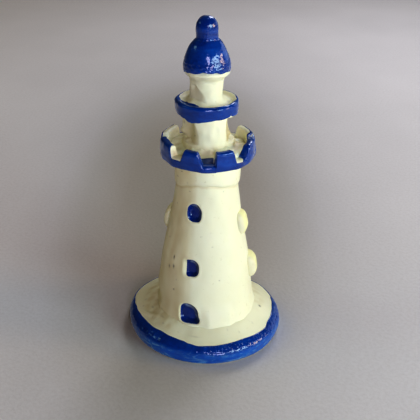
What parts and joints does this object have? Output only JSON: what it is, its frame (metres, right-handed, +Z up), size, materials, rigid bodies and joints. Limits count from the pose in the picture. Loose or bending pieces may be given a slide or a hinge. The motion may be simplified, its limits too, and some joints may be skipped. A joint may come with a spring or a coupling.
{
  "type": "miniature lighthouse figurine",
  "caption": "Hand-painted miniature lighthouse on a round plinth, with a tapered tower, a crenellated gallery, a balcony, a lantern room and a bell-shaped roof with a knob.",
  "frame": {"origin": "centre of the plinth's flat underside, on the table", "axes": "+Z up the lighthouse's axis; the door and the front windows face -Y; +X is to the right seen from the front"},
  "size_m": [0.037, 0.0362, 0.076],
  "materials": {
    "cream_paint": "satin",
    "blue_enamel": "gloss"
  },
  "bodies": {
    "root": {"plinth": "cream_paint", "plinth_band": "blue_enamel", "tower": "cream_paint", "tower_collar": "cream_paint", "gallery_deck": "cream_paint", "parapet": "blue_enamel", "watch_room": "cream_paint", "balcony_deck": "cream_paint", "balcony_band": "blue_enamel", "lantern_room": "cream_paint", "eave": "cream_paint", "roof": "blue_enamel", "finial": "blue_enamel", "upper_window": "blue_enamel", "middle_window": "blue_enamel", "door": "blue_enamel", "right_upper_hood": "cream_paint", "right_lower_hood": "cream_paint", "left_upper_hood": "cream_paint"}
  },
  "joints": []
}
